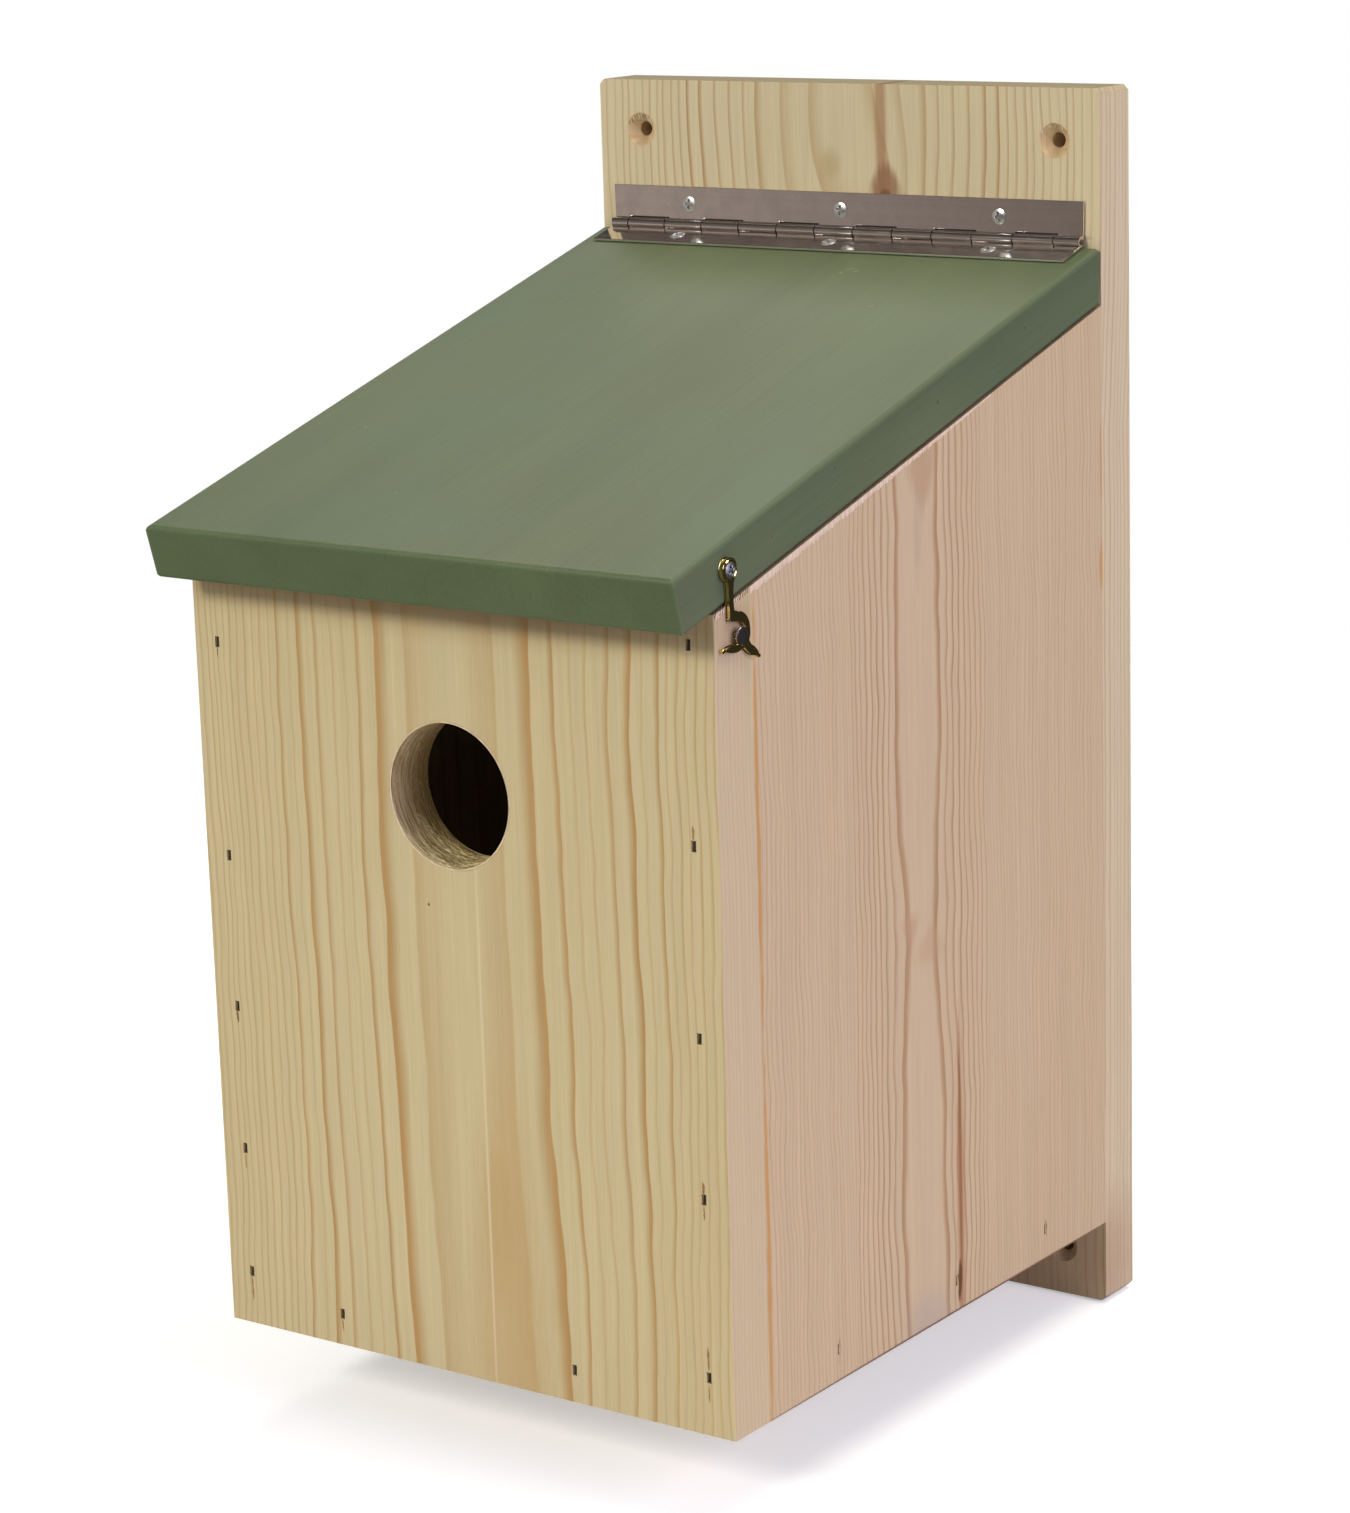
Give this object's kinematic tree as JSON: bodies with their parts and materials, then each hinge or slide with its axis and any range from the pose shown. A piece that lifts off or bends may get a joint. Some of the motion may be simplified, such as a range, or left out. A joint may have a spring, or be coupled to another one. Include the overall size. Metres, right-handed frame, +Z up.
{
  "type": "birdhouse",
  "caption": "Wall-hung wooden nest box with a round entrance, a sloped roof on a piano hinge that lifts open, and a swinging brass hook latch.",
  "frame": {"origin": "centre of the back board's rear face, which lies on the wall; also the centre of the four wall-screw holes", "axes": "+X to the right seen from the front, +Y into the wall, +Z up; the entrance faces -Y"},
  "size_m": [0.1421, 0.1837, 0.29],
  "materials": {
    "pine": "planed bare pine, vertical grain",
    "side_pine": "planed bare pine, fine straight grain",
    "roof_paint": "sage green satin exterior paint on pine",
    "hinge_nickel": "dark bright nickel plated sheet",
    "screw_zinc": "bright zinc plated",
    "hook_brass": "polished stamped brass",
    "peg_nickel": "dark nickel plated",
    "brad_steel": "galvanised brad, sunk"
  },
  "bodies": {
    "box": {"back_board": "pine", "front_panel": "pine", "left_side_panel": "side_pine", "right_side_panel": "side_pine", "floor_panel": "pine", "hinge_back_leaf": "hinge_nickel", "hinge_pin": "hinge_nickel", "hinge_back_screws": "screw_zinc", "latch_peg": "peg_nickel", "front_nails_left": "brad_steel", "front_nails_right": "brad_steel", "front_nails_bottom": "brad_steel", "side_nails_left": "brad_steel", "side_nails_right": "brad_steel", "back_nails_left": "brad_steel", "back_nails_right": "brad_steel", "back_nails_bottom": "brad_steel"},
    "roof": {"roof_panel": "roof_paint", "hinge_roof_leaf": "hinge_nickel", "hinge_roof_screws": "screw_zinc", "latch_screw": "screw_zinc"},
    "hook": {"latch_hook": "hook_brass"}
  },
  "joints": [
    {"name": "roof_hinge", "type": "hinge", "parent": "box", "child": "roof", "pos_m": [0, -0.0145, 0.1104], "axis": [-1, 0, 0], "range_deg": [0, 109]},
    {"name": "latch_hook_pivot", "type": "hinge", "parent": "roof", "child": "hook", "pos_m": [0.071, -0.1656, 0.0607], "axis": [1, 0, 0], "range_deg": [0, 330]}
  ]
}
